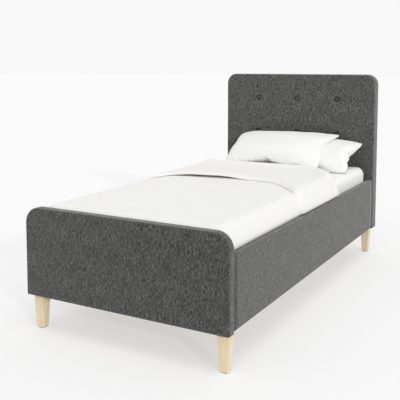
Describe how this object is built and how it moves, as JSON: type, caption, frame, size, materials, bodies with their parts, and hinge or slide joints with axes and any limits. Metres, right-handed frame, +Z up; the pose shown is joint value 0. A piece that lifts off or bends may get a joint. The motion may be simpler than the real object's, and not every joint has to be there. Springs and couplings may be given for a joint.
{
  "type": "single bed",
  "caption": "Upholstered single bed with a buttoned headboard, low footboard and padded side rails on tapered wood legs, with slats, mattress, turned-back duvet and pillows.",
  "frame": {"origin": "on the floor, under the middle of the bed", "axes": "+Z up, +Y from the footboard towards the headboard, +X across the bed towards its right-hand side as seen from the foot"},
  "size_m": [1, 2.02, 1.105],
  "materials": {
    "charcoal_weave": "mottled charcoal plain weave",
    "lining_cloth": "charcoal lining cloth",
    "foam": "open-cell upholstery foam",
    "pine": "clear satin pine",
    "frame_timber": "planed softwood",
    "plywood": "plain plywood",
    "slat_pine": "planed pine",
    "black_steel": "black powder coat",
    "zinc_steel": "bright zinc plate",
    "black_plastic": "matt moulded",
    "tape": "woven tape",
    "white_cotton": "white cotton sheeting",
    "ticking": "knitted mattress cover"
  },
  "bodies": {
    "bed_frame": {"headboard_cover": "charcoal_weave", "headboard_foam": "foam", "headboard_panel": "plywood", "headboard_stiles": "frame_timber", "headboard_top_rail": "frame_timber", "headboard_cross_rails": "frame_timber", "headboard_lining": "lining_cloth", "headboard_bolts": "zinc_steel", "footboard_cover": "charcoal_weave", "footboard_foam": "foam", "footboard_panel": "plywood", "footboard_stiles": "frame_timber", "footboard_top_rail": "frame_timber", "footboard_cross_rails": "frame_timber", "footboard_lining": "lining_cloth", "footboard_bolts": "zinc_steel", "headboard_buttons": "charcoal_weave", "side_rail_board_right": "frame_timber", "side_rail_foam_right": "foam", "side_rail_cover_right": "charcoal_weave", "slat_ledge_right": "frame_timber", "side_rail_board_left": "frame_timber", "side_rail_foam_left": "foam", "side_rail_cover_left": "charcoal_weave", "slat_ledge_left": "frame_timber", "slat_01": "slat_pine", "slat_02": "slat_pine", "slat_03": "slat_pine", "slat_04": "slat_pine", "slat_05": "slat_pine", "slat_06": "slat_pine", "slat_07": "slat_pine", "slat_08": "slat_pine", "slat_09": "slat_pine", "slat_10": "slat_pine", "slat_11": "slat_pine", "slat_12": "slat_pine", "slat_13": "slat_pine", "slat_14": "slat_pine", "slat_tapes": "tape", "leg_front_left": "pine", "leg_front_right": "pine", "leg_rear_right": "pine", "leg_rear_left": "pine", "leg_plates": "black_steel", "leg_studs": "zinc_steel", "leg_glides": "black_plastic", "corner_blocks": "frame_timber", "corner_brackets": "black_steel", "threaded_inserts": "zinc_steel"},
    "mattress": {"mattress": "ticking", "fitted_sheet": "white_cotton"},
    "duvet": {"duvet": "white_cotton"},
    "lower_pillow": {"lower_pillow": "white_cotton"},
    "upper_pillow": {"upper_pillow": "white_cotton"}
  },
  "joints": [
    {"name": "mattress_lift", "type": "slide", "parent": "bed_frame", "child": "mattress", "axis": [0, 0, 1], "range_m": [0, 0.25]},
    {"name": "duvet_lift", "type": "slide", "parent": "mattress", "child": "duvet", "axis": [0, 0, 1], "range_m": [0, 0.15]},
    {"name": "lower_pillow_lift", "type": "slide", "parent": "mattress", "child": "lower_pillow", "axis": [0, 0, 1], "range_m": [0, 0.15]},
    {"name": "upper_pillow_lift", "type": "slide", "parent": "lower_pillow", "child": "upper_pillow", "axis": [0, 0, 1], "range_m": [0, 0.15]}
  ]
}
